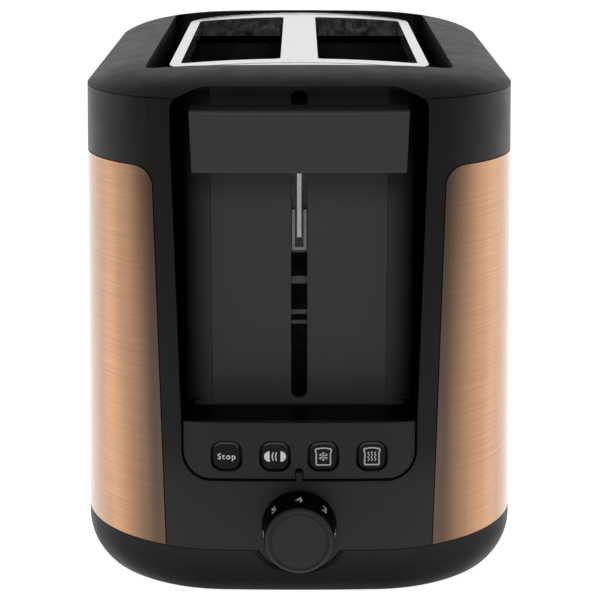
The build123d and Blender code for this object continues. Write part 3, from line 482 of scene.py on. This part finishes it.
class Drawing:
    """Flat shapes in millimetres, drawn on a plane and later laid on a surface."""

    def __init__(self):
        self.points = []
        self.faces = []

    def add(self, points, faces):
        """Adds points, and faces that count from the first of them."""
        first = len(self.points)
        self.points += points
        self.faces += [tuple(first + i for i in face) for face in faces]

    def line(self, points, width, closed=False):
        """A line of even width through the points."""
        count = len(points)
        edges = []
        for i, (x, y) in enumerate(points):
            before = points[(i - 1) % count] if closed or i else points[0]
            after = points[(i + 1) % count] if closed or i < count - 1 else points[-1]
            run = Vector((after[0] - before[0], after[1] - before[1])).normalized()
            edges.append((x - run.y * width / 2, y + run.x * width / 2))
            edges.append((x + run.y * width / 2, y - run.x * width / 2))
        steps = count if closed else count - 1
        ends = 2 * count
        self.add(edges, [(2 * i, 2 * i + 1, (2 * i + 3) % ends, (2 * i + 2) % ends) for i in range(steps)])

    def fill(self, points):
        """A filled shape that its middle can see all of."""
        count = len(points)
        middle = (sum(p[0] for p in points) / count, sum(p[1] for p in points) / count)
        self.add([*points, middle], [(i, (i + 1) % count, count) for i in range(count)])

    def text(self, words, height, spacing=1.0):
        """Plain lettering centred on the middle, with capitals of a height."""
        curve = bpy.data.curves.new("lettering", "FONT")
        curve.body = words
        curve.align_x = "CENTER"
        curve.size = height / CAPITAL_SHARE
        curve.offset = TEXT_WEIGHT * height
        curve.space_character = spacing
        curve.resolution_u = 4
        carrier = bpy.data.objects.new("lettering", curve)
        mesh = bpy.data.meshes.new_from_object(carrier)
        points = [(v.co.x, v.co.y - height / 2) for v in mesh.vertices]
        self.add(points, [tuple(polygon.vertices) for polygon in mesh.polygons])
        bpy.data.objects.remove(carrier)
        bpy.data.meshes.remove(mesh)
        bpy.data.curves.remove(curve)


# ---------------------------------------------------------------- symbols on the buttons

def draw_stop():
    """The word on the stop button."""
    drawing = Drawing()
    drawing.text("Stop", STOP_HEIGHT, STOP_SPACING)
    return drawing


def draw_bagel():
    """Two halves of a cut roll with a pair of curved marks between them."""
    drawing = Drawing()
    drawing.fill(arc((-ROLL_X, 0), ROLL_RADII, 90, 270))
    drawing.fill(arc((ROLL_X, 0), ROLL_RADII, -90, 90))
    for x in ROLL_MARK_XS:
        drawing.line(arc((x, 0), ROLL_MARK_RADII, 125, 235), ROLL_MARK_WIDTH)
    return drawing


def draw_bread():
    """The outline of a slice of bread with a domed top and a slightly drawn-in body."""
    outline = arc((-SHOULDER[0], SHOULDER[1]), SHOULDER_RADII, 190, 100, 5)
    outline += arc((0, DOME_Y), DOME_RADII, 150, 30, 8)
    outline += arc(SHOULDER, SHOULDER_RADII, 80, -10, 5)
    outline += [WAIST]
    outline += arc(FOOT, FOOT_RADII, 0, -90, 4)
    outline += arc((-FOOT[0], FOOT[1]), FOOT_RADII, -90, -180, 4)
    outline += [(-WAIST[0], WAIST[1])]
    drawing = Drawing()
    drawing.line(outline, OUTLINE_WIDTH, closed=True)
    return drawing


def draw_defrost():
    """A slice of bread with a snowflake."""
    drawing = draw_bread()
    for k in range(FLAKE_ARMS):
        angle = math.radians(FLAKE_TURN + 360 // FLAKE_ARMS * k)
        out = Vector((math.cos(angle), math.sin(angle)))
        across = Vector((-out.y, out.x))
        drawing.line([tuple(out * FLAKE_FROM), tuple(out * FLAKE_TO)], FLAKE_WIDTH)
        for side in (-1, 1):
            tip = out * BARB_TO + across * side * BARB_ASIDE
            drawing.line([tuple(out * BARB_FROM), tuple(tip)], BARB_WIDTH)
    return drawing


def draw_reheat():
    """A slice of bread with three upright waves."""
    drawing = draw_bread()
    heights = [WAVE_FROM + WAVE_STEP * i for i in range(WAVE_POINTS)]
    for x in WAVE_XS:
        drawing.line([(x + WAVE_SWING * math.sin(WAVE_RATE * z), z) for z in heights], WAVE_WIDTH)
    return drawing


def lay_on_front(name, drawing, node_name, body, material):
    """Lays a drawing on the front of a CAD node, centred on it."""
    low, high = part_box(node_name)
    centre_x, centre_z = (low.x + high.x) / 2, (low.z + high.z) / 2
    mesh = frame["nodes"][node_name].data
    tree = BVHTree.FromPolygons([v.co for v in mesh.vertices], [tuple(p.vertices) for p in mesh.polygons])
    points = []
    for x, z in drawing.points:
        start = Vector((centre_x + x * MM, low.y - RAY_START, centre_z + z * MM))
        hit = tree.ray_cast(start, Vector((0, 1, 0)))[0]
        points.append((start.x, (hit.y if hit else low.y) - INK * MM, start.z))
    piece = mesh_piece(name, points, drawing.faces, material)
    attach(piece, body)


def print_buttons():
    """Prints a symbol on each button: solid ones in white, outlines in grey."""
    symbols = {"stop": draw_stop, "bagel": draw_bagel, "defrost": draw_defrost, "reheat": draw_reheat}
    for word, draw in symbols.items():
        body = "button_" + word
        ink = "print_white" if word in ("stop", "bagel") else "print_grey"
        lay_on_front("print_" + word, draw(), body, body, materials[ink])


# ---------------------------------------------------------------- numbers round the dial

def print_dial():
    """Numbers wrapped round the tapering side of the knob."""
    low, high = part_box("dial_knob")
    centre_x, centre_z = (low.x + high.x) / 2, (low.z + high.z) / 2
    depth = (high.y - low.y) / MM
    points, faces = [], []
    for number in NUMBERS:
        drawing = Drawing()
        drawing.text(str(number), NUMBER_HEIGHT)
        first = len(points)
        for across, up in drawing.points:
            forward = NUMBER_AT * depth - up
            radius = DIAL_BACK_R + (DIAL_FRONT_R - DIAL_BACK_R) * forward / depth
            turn = math.radians(NUMBER_TURN * (TOP_NUMBER - number)) + across * NUMBER_NARROWING / radius
            reach = (radius + INK) * MM
            points.append((centre_x + reach * math.sin(turn), high.y - forward * MM,
                           centre_z + reach * math.cos(turn)))
        faces += [tuple(first + i for i in face) for face in drawing.faces]
    piece = mesh_piece("print_dial", points, faces, materials["print_white"])
    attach(piece, "dial")


# ---------------------------------------------------------------- coil springs round the guide rods

def spring_mesh(name, x, y, low_z, high_z):
    """A round-wire coil spring with a level turn at each end, in millimetres."""
    steps = SPRING_TURNS * SPRING_STEPS
    rising_steps = steps - 2 * SPRING_STEPS
    points, faces = [], []
    for i in range(steps + 1):
        turn = 2 * math.pi * i / SPRING_STEPS
        share = min(max((i - SPRING_STEPS) / rising_steps, 0.0), 1.0)
        wire_z = low_z + SPRING_WIRE_R + share * (high_z - low_z - 2 * SPRING_WIRE_R)
        for k in range(WIRE_STEPS):
            angle = 2 * math.pi * k / WIRE_STEPS
            reach = SPRING_R + SPRING_WIRE_R * math.cos(angle)
            points.append(((x + reach * math.cos(turn)) * MM, (y + reach * math.sin(turn)) * MM,
                           (wire_z + SPRING_WIRE_R * math.sin(angle)) * MM))
    for i in range(steps):
        near, far = i * WIRE_STEPS, (i + 1) * WIRE_STEPS
        for k in range(WIRE_STEPS):
            after = (k + 1) % WIRE_STEPS
            faces.append((near + k, near + after, far + after, far + k))
    last = steps * WIRE_STEPS
    faces += [tuple(range(WIRE_STEPS))[::-1], tuple(last + k for k in range(WIRE_STEPS))]
    return mesh_piece(name, points, faces, materials["steel"], smooth=True)


def make_springs():
    """Real coils in place of the CAD's plain sleeves."""
    for side in ("left", "right"):
        node_name = "return_spring_" + side
        low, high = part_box(node_name)
        spring = spring_mesh("coil_spring_" + side, (low.x + high.x) / 2 / MM, (low.y + high.y) / 2 / MM,
                             low.z / MM, high.z / MM)
        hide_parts(node_name)
        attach(spring, "body")
        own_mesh(spring)


# ---------------------------------------------------------------- camera, light and floor

def make_camera():
    """The scene's camera, level from side to side."""
    data = bpy.data.cameras.new("camera")
    data.sensor_width = SENSOR
    data.lens = CAMERA_LENS
    camera = bpy.data.objects.new("camera", data)
    camera.location = CAMERA_PLACE
    camera.rotation_euler = (math.radians(90 - CAMERA_DOWN), 0, 0)
    bpy.context.scene.collection.objects.link(camera)
    bpy.context.scene.camera = camera


def make_world():
    """Studio air: a bright wall behind the object, a dim room in front of it and a dimmer ceiling."""
    world = bpy.data.worlds.new("studio")
    world.use_nodes = True
    tree = world.node_tree
    background = tree.nodes["Background"]
    direction = node(tree, "ShaderNodeTexCoord").outputs["Generated"]
    wall = spread(tree, axis_of(tree, direction, "Y"), AIR_FRONT, AIR_REAR, *AIR_TURN)
    overhead = spread(tree, axis_of(tree, direction, "Z"), 1.0, CEILING, *CEILING_TURN)
    strength = node(tree, "ShaderNodeMath", operation="MULTIPLY")
    tree.links.new(wall, strength.inputs[0])
    tree.links.new(overhead, strength.inputs[1])
    tree.links.new(strength.outputs["Value"], background.inputs["Strength"])
    background.inputs["Color"].default_value = (1, 1, 1, 1)
    bpy.context.scene.world = world


def area_light(name, place, target, size, power):
    """A rectangular light that faces its target."""
    data = bpy.data.lights.new(name, "AREA")
    data.shape = "RECTANGLE"
    data.size, data.size_y = size
    data.energy = power
    light = bpy.data.objects.new(name, data)
    light.location = place
    light.rotation_euler = (Vector(target) - Vector(place)).to_track_quat("-Z", "Y").to_euler()
    bpy.context.scene.collection.objects.link(light)


def make_floor():
    """A wide sheet of pale paper that glows from below under and behind the object."""
    material, tree, shader = new_material("floor_paper")
    where = place_coordinates(tree)
    fibre = noise(tree, where, PAPER_FIBRE_SCALE)
    tree.links.new(ramp(tree, fibre, [(0.2, PAPER_DARK), (0.8, PAPER_LIGHT)]), shader.inputs["Base Color"])
    lit = spread(tree, axis_of(tree, where, "Y"), DIM_GLOW, FULL_GLOW, DIM_BEFORE_Y, LIT_FROM_Y)
    tree.links.new(lit, shader.inputs["Emission Strength"])
    set_inputs(shader, Emission_Color=(1, 1, 1, 1), Roughness=0.9)
    half = FLOOR_HALF
    points = [(-half, -half, 0), (half, -half, 0), (half, half, 0), (-half, half, 0)]
    floor = mesh_piece("floor", points, [(0, 1, 2, 3)], material)


materials = make_materials()
dress_cad_nodes()
print_buttons()
print_dial()
make_springs()
make_camera()
make_world()
make_floor()
for light_name, setting in LIGHTS.items():
    area_light(light_name, **setting)
bpy.context.scene.view_settings.view_transform = "Standard"
